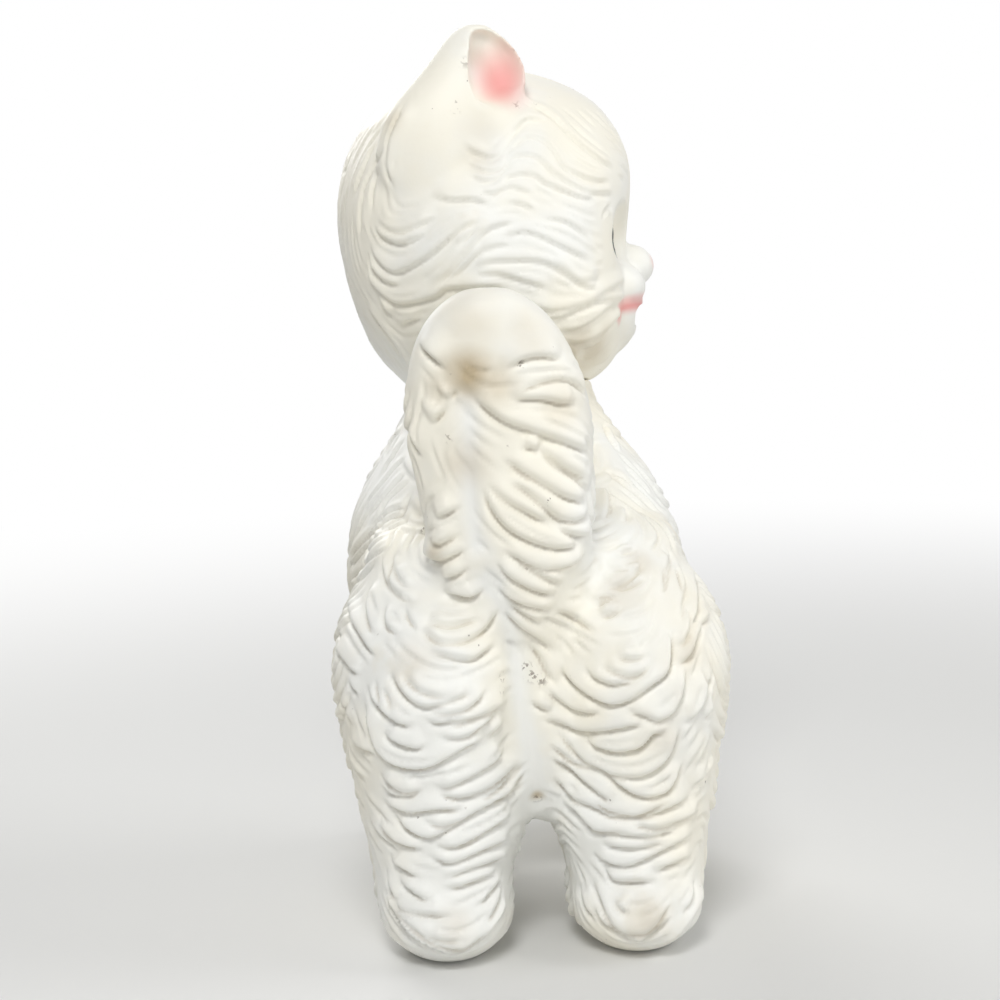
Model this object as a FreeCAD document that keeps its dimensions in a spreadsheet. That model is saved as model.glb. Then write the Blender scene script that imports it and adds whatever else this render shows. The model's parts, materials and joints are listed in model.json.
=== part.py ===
import FreeCAD, Part
import Sketcher
import math
import os

# Hollow moulded kitten: one casting for the body with its legs and tail, one for the head.
# The head's neck plug turns in the body's collar, and a whistle sits in the belly.
# The kitten faces -Y, its left side is +X, and the floor is Z = 0.

doc = FreeCAD.newDocument("kitten_figure")
sheet = doc.addObject("Spreadsheet::Sheet", "sizes")

# Driving dimensions in millimetres, and angles in degrees
DRIVING = {
    # casting
    "wall": 2.5,
    # body
    "torso_width": 79.0,
    "belly_height": 26.0,
    "neck_height": 122.0,
    "neck_radius": 22.0,
    "neck_setback": 43.0,
    "neck_shift": 2.0,
    "neck_tilt": 8.0,
    # hind legs
    "hind_stance": 42.8,
    "haunch_width": 44.8,
    "haunch_length": 57.0,
    "haunch_height": 95.0,
    # front legs
    "front_stance": 48.0,
    "shoulder_width": 34.0,
    "shoulder_length": 40.0,
    "shoulder_height": 90.0,
    # tail
    "tail_root_height": 62.0,
    "tail_top_height": 148.0,
    "tail_width": 41.0,
    "tail_thickness": 24.0,
    "tail_shift": 4.5,
    "tail_lean": 4.3,
    "tail_gap": 5.0,
    "rump_overhang": 2.0,
    # head
    "head_width": 77.0,
    "head_back": 37.5,
    "head_front": 33.3,
    "head_height": 75.4,
    "head_turn": -90.0,
    "nose_reach": 38.6,
    "nose_height": 27.5,
    "muzzle_width": 30.0,
    "muzzle_length": 26.0,
    "muzzle_tall": 30.0,
    "muzzle_height": 19.5,
    "lip_reach": 35.4,
    "nose_width": 11.0,
    "nose_length": 13.0,
    "nose_tall": 11.0,
    "puff_width": 14.0,
    "puff_tall": 12.0,
    "puff_spread": 13.0,
    "puff_height": 22.0,
    "mouth_width": 17.0,
    "mouth_depth": 12.0,
    "mouth_tall": 6.0,
    "mouth_height": 15.0,
    "eye_spread": 31.0,
    "eye_height": 33.5,
    "eye_width": 14.0,
    "eye_depth": 7.0,
    "eye_reach": 27.0,
    "eye_tall": 12.0,
    "socket_margin": 2.5,
    "socket_depth": 14.0,
    "socket_floor": 25.5,
    "ear_spread": 54.0,
    "ear_setback": 10.0,
    "ear_width": 20.0,
    "ear_length": 34.0,
    "ear_base_height": 42.0,
    "ear_tip_height": 81.0,
    # neck joint
    "collar_bore": 13.0,
    "collar_lip": 3.0,
    "turn_clearance": 0.3,
    "flange_overhang": 3.2,
    "flange_thickness": 3.0,
    # whistle
    "whistle_radius": 8.0,
    "whistle_length": 12.0,
    "whistle_wall": 0.6,
    "whistle_rim": 2.0,
    "vent_radius": 2.0,
    "boss_wall": 3.0,
    "boss_height": 5.0,
    "reed_bed_length": 9.0,
    "channel_depth": 4.0,
    "reed_width": 5.0,
    "reed_play": 0.2,
    "reed_length": 8.0,
    "reed_thickness": 0.3,
    # cuts
    "overrun": 1.0,
}

# Sizes that follow from the driving ones
FOLLOWING = {
    "head_sweep": "=max(head_back; max(head_width / 2; nose_reach))",
    "body_length": "=neck_setback + head_sweep + tail_gap + tail_thickness + rump_overhang",
    "body_front": "=-body_length / 2",
    "body_rear": "=body_length / 2",
    "neck_y": "=body_front + neck_setback",
    "tail_y": "=body_rear - rump_overhang - tail_thickness / 2",
    "plug_radius": "=collar_bore - turn_clearance",
    "flange_radius": "=plug_radius + flange_overhang",
    "plug_bore": "=plug_radius - wall",
    "flange_half": "=flange_thickness / 2",
    "flange_lead": "=flange_radius - flange_half",
    "flange_foot": "=-collar_lip - turn_clearance - flange_thickness",
    "plug_height": "=turn_clearance + wall - flange_foot",
    "whistle_bore": "=whistle_radius - whistle_wall",
    "rim_radius": "=whistle_radius + whistle_rim",
    "whistle_y": "=(body_front + body_rear) / 2",
    "channel_right": "=reed_width / 2 + reed_play",
    "channel_left": "=-channel_right",
}
CELLS = {**DRIVING, **FOLLOWING}

for row, (alias, value) in enumerate(CELLS.items(), start=1):
    sheet.set(f"A{row}", alias)
    sheet.set(f"B{row}", str(value))
    sheet.setAlias(f"B{row}", alias)
doc.recompute()


def size(alias):
    """The value of one cell."""
    return float(sheet.get(alias))


# Torso sections, from the belly to just under the collar.
# Height is a share of belly to collar, half width of half the torso width,
# front and rear reach of half the body length, and the last is a share of the collar's tilt
# and of its shift to the kitten's left.
TORSO_SHARES = (
    # height, half width, front, rear, tilt and shift
    (0.000, 0.36, 0.47, 0.47, 0.0),
    (0.025, 0.61, 0.65, 0.65, 0.0),
    (0.083, 0.81, 0.78, 0.76, 0.0),
    (0.198, 0.94, 0.87, 0.83, 0.0),
    (0.354, 0.99, 0.92, 0.84, 0.0),
    (0.510, 1.01, 0.935, 0.79, 0.15),
    (0.646, 0.99, 0.91, 0.66, 0.3),
    (0.750, 0.90, 0.865, 0.46, 0.5),
    (0.850, 0.74, 0.80, 0.28, 0.7),
    (0.930, 0.61, 0.735, 0.17, 0.85),
)

# Hind leg sections, from the sole to the top of the haunch.
# Height is a share of the haunch height, out of half the stance, half width of half the haunch
# width, setback from the rump and length of the haunch length.
HIND_SHARES = (
    # height, out, half width, setback, length
    (0.000, 0.98, 0.42, 0.105, 0.456),
    (0.032, 0.99, 0.58, 0.035, 0.596),
    (0.096, 1.00, 0.69, 0.000, 0.700),
    (0.190, 1.01, 0.71, 0.050, 0.670),
    (0.290, 0.98, 0.83, 0.055, 0.720),
    (0.447, 1.055, 0.875, 0.030, 0.880),
    (0.617, 1.05, 1.00, 0.000, 1.000),
    (0.787, 0.98, 0.94, 0.085, 0.950),
    (0.915, 0.88, 0.75, 0.270, 0.740),
    (1.000, 0.78, 0.38, 0.500, 0.370),
)

# Front leg sections, from the sole to the shoulder, measured from the front in the same way
FRONT_SHARES = (
    # height, out, half width, setback, length
    (0.000, 1.00, 0.53, 0.125, 0.650),
    (0.033, 1.00, 0.70, 0.035, 0.830),
    (0.090, 1.00, 0.78, 0.000, 0.910),
    (0.178, 1.00, 0.735, 0.120, 0.800),
    (0.310, 1.00, 0.735, 0.275, 0.700),
    (0.500, 0.96, 0.88, 0.275, 0.850),
    (0.690, 0.875, 1.00, 0.250, 1.000),
    (0.867, 0.75, 0.94, 0.325, 0.900),
    (1.000, 0.625, 0.59, 0.525, 0.600),
)

# Tail sections, from inside the rump to the tip.
# Height is a share of the tail's root to top, back is a share of the tail's thickness behind
# its middle, lean of the tail's lean.
TAIL_SHARES = (
    # height, back, half width, half thickness, lean
    (0.00, -0.38, 0.63, 0.75, 0.0),
    (0.21, -0.12, 0.83, 1.00, 0.0),
    (0.35, -0.02, 0.90, 1.00, 0.1),
    (0.51, 0.00, 0.975, 1.00, 0.3),
    (0.65, 0.00, 1.00, 1.00, 0.5),
    (0.78, 0.03, 0.93, 0.96, 0.7),
    (0.895, 0.08, 0.74, 0.87, 0.9),
    (0.97, 0.15, 0.45, 0.58, 1.0),
    (1.00, 0.18, 0.20, 0.25, 1.0),
)

# Skull sections, from the rim on the collar to the crown
SKULL_SHARES = (
    # height, half width, front, rear
    (0.055, 0.70, 0.81, 0.69),
    (0.137, 0.86, 0.90, 0.81),
    (0.247, 0.96, 0.93, 0.90),
    (0.370, 1.00, 0.94, 0.965),
    (0.507, 0.985, 0.97, 1.00),
    (0.644, 0.92, 1.00, 0.985),
    (0.767, 0.80, 0.94, 0.90),
    (0.877, 0.62, 0.78, 0.73),
    (0.945, 0.44, 0.54, 0.53),
    (0.985, 0.24, 0.29, 0.29),
    (1.000, 0.08, 0.09, 0.10),
)

# Ear sections, from inside the skull to the tip, and its hollow from the bottom up.
# Out is a share of half the ears' spread, back of the ear's setback.
EAR_SHARES = (
    # height, out, back, half width, half length
    (0.00, 0.89, 1.00, 1.00, 1.00),
    (0.28, 0.96, 1.10, 0.95, 1.00),
    (0.50, 1.00, 0.95, 0.80, 0.91),
    (0.70, 1.01, 0.58, 0.65, 0.74),
    (0.86, 1.01, 0.46, 0.48, 0.51),
    (0.95, 0.99, 0.48, 0.30, 0.32),
    (1.00, 0.985, 0.46, 0.14, 0.13),
)
HOLLOW_SHARES = (
    # height, out, back, half width, half length
    (0.52, 1.20, 0.00, 0.36, 0.30),
    (0.64, 1.20, -0.05, 0.62, 0.42),
    (0.76, 1.17, 0.00, 0.64, 0.39),
    (0.87, 1.12, 0.15, 0.50, 0.27),
    (0.95, 1.06, 0.32, 0.22, 0.13),
)
SECTION_POINTS = 12


def section(x, half_width, front, rear, height, tilt=0.0, inset=0.0):
    """A closed oval wire: widest at x and halfway from front to rear, tilted about X."""
    half_length = (rear - front) / 2 - inset
    middle = FreeCAD.Vector(x, (front + rear) / 2, height)
    turn = FreeCAD.Rotation(FreeCAD.Vector(1, 0, 0), tilt)
    points = []
    knots = [float(k) for k in range(SECTION_POINTS + 1)]
    for k in range(SECTION_POINTS):
        angle = 2 * math.pi * k / SECTION_POINTS
        flat = FreeCAD.Vector((half_width - inset) * math.sin(angle), half_length * math.cos(angle), 0)
        points.append(middle + turn.multVec(flat))
    curve = Part.BSplineCurve()
    curve.interpolate(Points=points, PeriodicFlag=True, Parameters=knots)
    return Part.Wire([curve.toShape()])


def skin(name, wires):
    """A closed freeform solid through its section wires, as an object of the document."""
    feature = doc.addObject("Part::Feature", name)
    feature.Shape = Part.makeLoft(wires, True, False)
    return feature


def torso(name, inset=0.0):
    """The trunk, from the belly to the collar. With an inset it is the hollow inside."""
    low = size("belly_height")
    span = size("neck_height") - low
    half_width = size("torso_width") / 2
    half_length = size("body_length") / 2
    wires = []
    for height, wide, front, rear, lean in TORSO_SHARES:
        z = low + inset + height * (span - inset)
        wires.append(section(lean * size("neck_shift"), wide * half_width, -front * half_length,
                             rear * half_length, z, lean * size("neck_tilt"), inset))
    rim = size("neck_radius")
    drop = size("collar_lip") if inset else 0
    tilt = math.radians(size("neck_tilt"))
    centre_y = size("neck_y") + drop * math.sin(tilt)
    centre_z = size("neck_height") - drop * math.cos(tilt)
    wires.append(section(size("neck_shift"), rim, centre_y - rim, centre_y + rim, centre_z,
                         size("neck_tilt"), inset))
    return skin(name, wires)


def leg(name, side, shares, stance, width, length, height, end, inset):
    """One leg, from its sole up. End is where its setbacks start and the way they run from there."""
    start, way = end
    wires = []
    for k, (up, out, wide, setback, long) in enumerate(shares):
        near = start + way * setback * length
        far = near + way * long * length
        z = up * height
        if inset and k == 0:
            z += inset
        if inset and k == len(shares) - 1:
            z -= inset
        wires.append(section(side * out * stance / 2, wide * width / 2, min(near, far), max(near, far), z,
                             inset=inset))
    if inset:
        wires.pop(1)
    return skin(name, wires)


def hind_leg(name, side, inset=0.0):
    return leg(name, side, HIND_SHARES, size("hind_stance"), size("haunch_width"),
               size("haunch_length"), size("haunch_height"), (size("body_rear"), -1), inset)


def front_leg(name, side, inset=0.0):
    return leg(name, side, FRONT_SHARES, size("front_stance"), size("shoulder_width"),
               size("shoulder_length"), size("shoulder_height"), (size("body_front"), 1), inset)


def tail(name, inset=0.0):
    """The upright tail, wide across and thinner front to back."""
    low = size("tail_root_height")
    span = size("tail_top_height") - low
    thick = size("tail_thickness")
    wires = []
    for height, back, wide, half, lean in TAIL_SHARES:
        if inset and wide * size("tail_width") / 2 < 2 * inset:
            continue
        y = size("tail_y") + back * thick
        reach = half * thick / 2
        x = size("tail_shift") + lean * size("tail_lean")
        wires.append(section(x, wide * size("tail_width") / 2, y - reach, y + reach, low + height * span,
                             inset=inset))
    return skin(name, wires)


def skull(name, inset=0.0):
    """The round of the head in its own frame: the neck's centre at the origin, facing -Y."""
    rim = size("neck_radius")
    tall = size("head_height") - inset
    gap = size("turn_clearance") + inset
    wires = [section(0, rim, -rim, rim, gap, inset=inset)]
    for height, wide, front, rear in SKULL_SHARES:
        if inset and wide * size("head_width") / 2 < 3 * inset:
            continue
        wires.append(section(0, wide * size("head_width") / 2, -front * size("head_front"),
                             rear * size("head_back"), height * tall, inset=inset))
    return skin(name, wires)


def ear(name, side, shares):
    """One ear, or the hollow in its front, as a cone through ovals."""
    low = size("ear_base_height")
    span = size("ear_tip_height") - low
    wires = []
    for height, out, back, wide, long in shares:
        x = side * out * size("ear_spread") / 2
        y = back * size("ear_setback")
        reach = long * size("ear_length") / 2
        wires.append(section(x, wide * size("ear_width") / 2, y - reach, y + reach, low + height * span))
    return skin(name, wires)


def cell(words):
    """An expression on cells: each alias in it gets the sheet's name before it."""
    return " ".join("sizes." + word if word in CELLS else word for word in words.split())


def place(feature, **words):
    """Binds a feature's properties, and its x, y and z, to expressions on the cells."""
    for path, formula in words.items():
        if path in ("x", "y", "z"):
            path = "Placement.Base." + path
        feature.setExpression(path, cell(formula))
    return feature


def cylinder(name, **words):
    return place(doc.addObject("Part::Cylinder", name), **words)


def ellipsoid(name, width, length, height, **words):
    """A whole ellipsoid by its full width, length and height."""
    feature = doc.addObject("Part::Ellipsoid", name)
    feature.Angle1 = -feature.Angle2
    return place(feature, Radius1=f"( {height} ) / 2", Radius2=f"( {width} ) / 2",
                 Radius3=f"( {length} ) / 2", **words)


def join(name, *parts):
    """One solid from several that overlap."""
    feature = doc.addObject("Part::MultiFuse", name)
    feature.Shapes = list(parts)
    feature.Refine = False
    return feature


def cut(name, base, tool):
    """The base with the tool taken out of it."""
    feature = doc.addObject("Part::Cut", name)
    feature.Base = base
    feature.Tool = tool
    feature.Refine = False
    return feature


def on_neck(feature, above="0", turn="0"):
    """Seats a feature drawn about its own Z axis on the tilted neck, turned about that axis."""
    return place(feature, x="neck_shift", y=f"neck_y - ( {above} ) * sin( neck_tilt )",
                 z=f"neck_height + ( {above} ) * cos( neck_tilt )",
                 **{"Placement.Rotation": "rotation( vector( 1 ; 0 ; 0 ) ; neck_tilt ) * "
                                          f"rotation( vector( 0 ; 0 ; 1 ) ; {turn} )"})


def sketch_on(body, role, name):
    """An empty sketch on one of a body's own origin planes."""
    plane = next(item for item in body.Origin.OriginFeatures if item.Role == role)
    sketch = body.newObject("Sketcher::SketchObject", name)
    sketch.AttachmentSupport = [(plane, "")]
    sketch.MapMode = "FlatFace"
    return sketch


def fix_point(sketch, line, across, up):
    """Ties the start of a sketch line to two cells, or to the axes where a cell is given as 0."""
    for kind, axis, alias in (("DistanceX", -2, across), ("DistanceY", -1, up)):
        if alias == "0":
            sketch.addConstraint(Sketcher.Constraint("PointOnObject", line, 1, axis))
            continue
        rule = sketch.addConstraint(Sketcher.Constraint(kind, -1, 1, line, 1, size(alias)))
        sketch.setExpression(f"Constraints[{rule}]", "sizes." + alias)


def outline(sketch, corners):
    """A closed outline through corners, each given as two cells: across and up."""
    spots = []
    for corner in corners:
        across, up = (0 if alias == "0" else size(alias) for alias in corner)
        spots.append(FreeCAD.Vector(across, up, 0))
    for k, spot in enumerate(spots):
        sketch.addGeometry(Part.LineSegment(spot, spots[(k + 1) % len(spots)]))
    for k, corner in enumerate(corners):
        sketch.addConstraint(Sketcher.Constraint("Coincident", k - 1 if k else len(spots) - 1, 2, k, 1))
        fix_point(sketch, k, *corner)


def turned(name, corners):
    """A body turned about its Z axis from an outline of radii and heights."""
    body = doc.addObject("PartDesign::Body", name)
    sketch = sketch_on(body, "XZ_Plane", name + "_outline")
    outline(sketch, corners)
    turn = body.newObject("PartDesign::Revolution", name + "_turn")
    turn.Profile = sketch
    turn.ReferenceAxis = (sketch, ["V_Axis"])
    turn.Angle = 360
    return body


def body_shell():
    """The body casting: trunk, four legs and tail as one hollow wall, bored at collar and belly."""
    wall = size("wall")
    form = join("body_form", torso("trunk"),
                hind_leg("hind_leg_left", 1), hind_leg("hind_leg_right", -1),
                front_leg("front_leg_left", 1), front_leg("front_leg_right", -1), tail("tail"))
    hollow = join("body_hollow", torso("trunk_inside", wall),
                  hind_leg("hind_inside_left", 1, wall), hind_leg("hind_inside_right", -1, wall),
                  front_leg("front_inside_left", 1, wall), front_leg("front_inside_right", -1, wall),
                  tail("tail_inside", wall))
    boss = cylinder("whistle_boss", Radius="whistle_radius + boss_wall", Height="wall + boss_height",
                    y="whistle_y", z="belly_height")
    whistle_hole = cylinder("whistle_hole", Radius="whistle_radius",
                            Height="wall + boss_height + 2 * overrun",
                            y="whistle_y", z="belly_height - overrun")
    collar_hole = on_neck(cylinder("collar_hole", Radius="collar_bore", Height="collar_lip + 2 * overrun"),
                          above="- collar_lip - overrun")
    bossed = join("body_with_boss", cut("body_cast", form, hollow), boss)
    return cut("body_shell", cut("body_bored", bossed, whistle_hole), collar_hole)


SIDES = (("left", ""), ("right", "-"))


def eyeball(side, way):
    return ellipsoid("eyeball_" + side, "eye_width", "eye_depth", "eye_tall",
                     x=f"{way} eye_spread / 2", y="eye_depth / 2 - eye_reach", z="eye_height")


def socket(name, way, extra="0"):
    """The scoop beside the bridge of the nose that an eye lies in, larger all round by the extra."""
    more = f" + 2 * ( socket_margin + {extra} )"
    return ellipsoid(name, "eye_width" + more, f"socket_depth + 2 * ( {extra} )", "eye_tall" + more,
                     x=f"{way} eye_spread / 2", y="0 - socket_floor - socket_depth / 2", z="eye_height")


def face_parts():
    """The muzzle, nose and lips that stand out of the front of the skull."""
    parts = []
    for side, way in SIDES:
        parts.append(ellipsoid("puff_" + side, "puff_width", "puff_width", "puff_tall",
                               x=f"{way} puff_spread / 2", y="puff_width / 2 - lip_reach", z="puff_height"))
    parts.append(ellipsoid("muzzle", "muzzle_width", "muzzle_length", "muzzle_tall",
                           y="muzzle_length / 2 - lip_reach", z="muzzle_height"))
    parts.append(ellipsoid("nose", "nose_width", "nose_length", "nose_tall",
                           y="nose_length / 2 - nose_reach", z="nose_height"))
    return parts


def neck_plug():
    """The plug under the head: its flange snaps in behind the body's collar. Its foot is at 0."""
    return turned("neck_plug", [("0", "0"), ("flange_lead", "0"), ("flange_radius", "flange_half"),
                                ("flange_radius", "flange_thickness"), ("plug_radius", "flange_thickness"),
                                ("plug_radius", "plug_height"), ("0", "plug_height")])


def head_shell():
    """The head casting: a hollow skull with face and solid ears, on its plug in the body's collar."""
    wall = size("wall")
    scoops = join("sockets", *[socket("socket_" + side, way) for side, way in SIDES])
    face = cut("face", join("skull_form", skull("skull"), *face_parts()), scoops)
    backing = join("socket_walls", *[socket("socket_wall_" + side, way, "wall") for side, way in SIDES])
    hollow = cut("head_hollow", skull("skull_inside", wall), backing)
    shell = cut("skull_shell", join("face_with_eyes", face, *[eyeball(*pair) for pair in SIDES]), hollow)
    plug = place(neck_plug(), z="flange_foot")
    solid = join("head_form", shell, plug,
                 ear("ear_left", 1, EAR_SHARES), ear("ear_right", -1, EAR_SHARES))
    mouth = ellipsoid("mouth", "mouth_width", "mouth_depth", "mouth_tall",
                      y="0 - lip_reach", z="mouth_height")
    plug_hole = cylinder("plug_hole", Radius="plug_bore", Height="plug_height + overrun",
                         z="flange_foot - overrun")
    dips = join("head_dips", ear("ear_hollow_left", 1, HOLLOW_SHARES),
                ear("ear_hollow_right", -1, HOLLOW_SHARES), mouth, plug_hole)
    return on_neck(cut("head_shell", solid, dips), turn="head_turn")


def whistle_case():
    """The whistle's metal cup: a vent and a rim outside, its open end inside the belly."""
    case = turned("whistle_case", [("vent_radius", "0"), ("rim_radius", "0"), ("rim_radius", "whistle_wall"),
                                   ("whistle_radius", "whistle_wall"), ("whistle_radius", "whistle_length"),
                                   ("whistle_bore", "whistle_length"), ("whistle_bore", "whistle_wall"),
                                   ("vent_radius", "whistle_wall")])
    return place(case, y="whistle_y", z="belly_height - whistle_wall")


def whistle_reed_bed():
    """The plug inside the case, with the square channel that the air goes through."""
    body = doc.addObject("PartDesign::Body", "whistle_reed_bed")
    sketch = sketch_on(body, "XY_Plane", "reed_bed_outline")
    outline(sketch, [("channel_right", "0"), ("channel_right", "channel_depth"),
                     ("channel_left", "channel_depth"), ("channel_left", "0")])
    ring = sketch.addGeometry(Part.Circle(FreeCAD.Vector(), FreeCAD.Vector(0, 0, 1), size("whistle_bore")))
    sketch.addConstraint(Sketcher.Constraint("Coincident", ring, 3, -1, 1))
    rule = sketch.addConstraint(Sketcher.Constraint("Radius", ring, size("whistle_bore")))
    sketch.setExpression(f"Constraints[{rule}]", "sizes.whistle_bore")
    pad = body.newObject("PartDesign::Pad", "reed_bed_pad")
    pad.Profile = sketch
    pad.setExpression("Length", "sizes.reed_bed_length")
    return place(body, y="whistle_y", z="belly_height")


def whistle_reed():
    """The brass tongue that lies along the flat side of the channel."""
    reed = doc.addObject("Part::Box", "whistle_reed")
    return place(reed, Length="reed_width", Width="reed_thickness", Height="reed_length",
                 x="0 - reed_width / 2", y="whistle_y", z="belly_height + reed_bed_length - reed_length")


pieces = [body_shell(), head_shell(), whistle_case(), whistle_reed_bed(), whistle_reed()]
doc.recompute()
failed = [item.Name for item in doc.Objects if {"Invalid", "Error"} & set(item.State)]
if failed:
    raise RuntimeError("features that failed: " + ", ".join(failed))
for piece in pieces:
    if piece.Shape.isNull() or not piece.Shape.isValid() or len(piece.Shape.Solids) != 1:
        raise RuntimeError(f"{piece.Label} is not one valid solid")

os.makedirs("parts", exist_ok=True)
for piece in pieces:
    piece.Shape.exportStep(f"parts/{piece.Label}.step")
    span = piece.Shape.optimalBoundingBox(False)
    print(f"{piece.Label}: {piece.Shape.Volume / 1000:.1f} cm3, "
          f"x {span.XMin:.1f} to {span.XMax:.1f}, y {span.YMin:.1f} to {span.YMax:.1f}, "
          f"z {span.ZMin:.1f} to {span.ZMax:.1f}")
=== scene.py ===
# %% [markdown]
# This lesson dresses a hollow moulded rubber kitten. The imported model gives its smooth walls, its neck
# joint and its whistle. Here the two rubber shells get the fur that the mould pressed into them, the
# pink and black paint, the dirt of years of handling, and painted shade in the valleys and under the tail's
# dome.

# %% Libraries and the imported frame
import json
import math

import bpy
import numpy as np
from mathutils import Matrix, Vector
from mathutils.bvhtree import BVHTree


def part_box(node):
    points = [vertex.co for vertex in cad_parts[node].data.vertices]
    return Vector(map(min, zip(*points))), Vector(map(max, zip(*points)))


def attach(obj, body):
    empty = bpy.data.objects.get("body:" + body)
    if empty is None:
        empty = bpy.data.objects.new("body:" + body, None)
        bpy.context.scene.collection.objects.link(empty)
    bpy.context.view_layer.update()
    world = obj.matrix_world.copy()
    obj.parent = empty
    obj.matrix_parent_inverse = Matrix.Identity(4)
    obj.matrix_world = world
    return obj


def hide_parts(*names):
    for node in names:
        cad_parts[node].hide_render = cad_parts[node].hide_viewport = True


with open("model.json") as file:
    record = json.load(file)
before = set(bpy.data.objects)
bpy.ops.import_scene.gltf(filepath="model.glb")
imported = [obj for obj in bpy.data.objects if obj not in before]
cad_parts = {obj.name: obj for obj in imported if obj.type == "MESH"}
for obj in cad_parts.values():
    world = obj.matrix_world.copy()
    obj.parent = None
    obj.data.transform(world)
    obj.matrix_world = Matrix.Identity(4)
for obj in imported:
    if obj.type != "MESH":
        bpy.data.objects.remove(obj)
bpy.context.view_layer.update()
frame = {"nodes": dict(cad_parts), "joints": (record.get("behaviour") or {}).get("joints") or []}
MM = 0.001
SEED = 7

# %% [markdown]
# The camera comes first, because the locks of fur are drawn where the picture shows them: each lock is a
# line of pixels, and a ray from the camera carries it onto the rubber. The camera stands half a metre
# behind the kitten, a little above it, and looks slightly down.

# %% The camera and its rays
PICTURE = 1000
MIDDLE = Vector((512, 500))
FOCAL_PIXELS = 2160
SENSOR = 36
STAND_OFF = 520 * MM
EYE_HEIGHT = 165 * MM
NECK = Vector((2, -13.3, 122)) * MM
HEADING = Vector((-0.0785, -0.9969, 0)).normalized()
PITCH = math.radians(7.8)
ROLL = math.radians(1.7)


def aim():
    """Gives the camera's place and its three axes."""
    foot = Vector((0, NECK.y, 0))
    place = foot - HEADING * STAND_OFF + Vector((0, 0, EYE_HEIGHT))
    right = HEADING.cross(Vector((0, 0, 1)))
    forward = HEADING * math.cos(PITCH) - Vector((0, 0, math.sin(PITCH)))
    up = right.cross(forward)
    level_right = right.copy()
    right = level_right * math.cos(ROLL) - up * math.sin(ROLL)
    up = up * math.cos(ROLL) + level_right * math.sin(ROLL)
    return place, right, up, forward


EYE, RIGHT, UP, FORWARD = aim()


def ray(x, y):
    """Gives the direction in which the camera sees a pixel."""
    across = (x - MIDDLE.x) / FOCAL_PIXELS
    down = (y - MIDDLE.y) / FOCAL_PIXELS
    return (FORWARD + RIGHT * across - UP * down).normalized()


def add_camera():
    data = bpy.data.cameras.new("camera")
    data.sensor_width = SENSOR
    data.lens = FOCAL_PIXELS * SENSOR / PICTURE
    data.shift_x = (PICTURE / 2 - MIDDLE.x) / PICTURE
    data.clip_start = 0.01
    camera = bpy.data.objects.new("camera", data)
    turn = Matrix((RIGHT, UP, -FORWARD)).transposed()
    camera.matrix_world = Matrix.Translation(EYE) @ turn.to_4x4()
    bpy.context.collection.objects.link(camera)
    bpy.context.scene.camera = camera
    return camera


camera = add_camera()
print("camera", [round(c, 3) for c in camera.location], "lens", round(camera.data.lens, 2))

# %% [markdown]
# The head turns on the neck, so the face has a frame of its own: up along the neck's axis, forward to
# the nose, and sideways to the ear that the camera sees.

# %% The head's own frame
joint = frame["joints"][0]
AXIS = Vector(joint["axis"]).normalized()
FACING = Vector((-1, 0, 0))
SIDE = FACING.cross(AXIS) * -1
if SIDE.y < 0:
    SIDE = SIDE * -1
HEAD_BASIS = np.array([FACING, SIDE, AXIS])


def in_head(points):
    """Turns places in space into reach forward, side and height in the head's frame."""
    return (np.asarray(points) - np.array(NECK)) @ HEAD_BASIS.T


print("head frame", [round(c, 3) for c in SIDE])

# %% [markdown]
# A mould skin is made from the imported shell. The shell is hollow, and only its outside is seen, so a cup
# closes each way in. A voxel remesh then gives even small faces that can take the relief, and of the
# skins that come out only the outermost stays.

# %% Tools for meshes
def smooth_step(x):
    """Gives 0 at 0 and below, 1 at 1 and above, and a smooth run between them."""
    x = np.clip(x, 0, 1)
    return x * x * (3 - 2 * x)


def rise(values, start, run):
    """Goes from 0 at the start to 1 after the run."""
    return smooth_step((values - start) / run)


def fall(values, end, run):
    """Goes from 1 to 0, which it reaches at the end after the run."""
    return smooth_step((end - values) / run)


def read(items, field, kind=np.float32, width=3):
    """Reads one field of all of a mesh's items into an array."""
    values = np.empty(len(items) * width, kind)
    items.foreach_get(field, values)
    return values.reshape(-1, width)


def mesh_points(mesh):
    return read(mesh.vertices, "co").astype(float)


def mesh_arrays(mesh):
    """Gives the vertices and the triangles of a mesh."""
    mesh.calc_loop_triangles()
    return mesh_points(mesh), read(mesh.loop_triangles, "vertices", np.int32)


def new_piece(name, points, faces):
    mesh = bpy.data.meshes.new(name)
    mesh.from_pydata([tuple(p) for p in points], [], [tuple(f) for f in faces])
    mesh.update()
    piece = bpy.data.objects.new(name, mesh)
    bpy.context.collection.objects.link(piece)
    return piece


def lathe(profile, centre, axis, turns=72):
    """Turns a closed outline of (radius, height) pairs about an axis."""
    axis = Vector(axis).normalized()
    first = axis.orthogonal().normalized()
    second = axis.cross(first)
    points = []
    faces = []
    for turn in range(turns):
        angle = 2 * math.pi * turn / turns
        out = first * math.cos(angle) + second * math.sin(angle)
        for radius, height in profile:
            points.append(Vector(centre) + out * radius + axis * height)
    count = len(profile)
    for turn in range(turns):
        here = turn * count
        there = (turn + 1) % turns * count
        for step in range(count):
            after = (step + 1) % count
            faces.append((here + step, there + step, there + after, here + after))
    return [np.array([tuple(p) for p in points]), faces]


def evaluated_copy(piece):
    graph = bpy.context.evaluated_depsgraph_get()
    return bpy.data.meshes.new_from_object(piece.evaluated_get(graph), depsgraph=graph)


def island_labels(count, edges):
    """Gives each vertex the lowest number in its island."""
    label = np.arange(count)
    while True:
        low = np.minimum(label[edges[:, 0]], label[edges[:, 1]])
        after = label.copy()
        np.minimum.at(after, edges[:, 0], low)
        np.minimum.at(after, edges[:, 1], low)
        after = after[after]
        if (after == label).all():
            return label
        label = after


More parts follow.
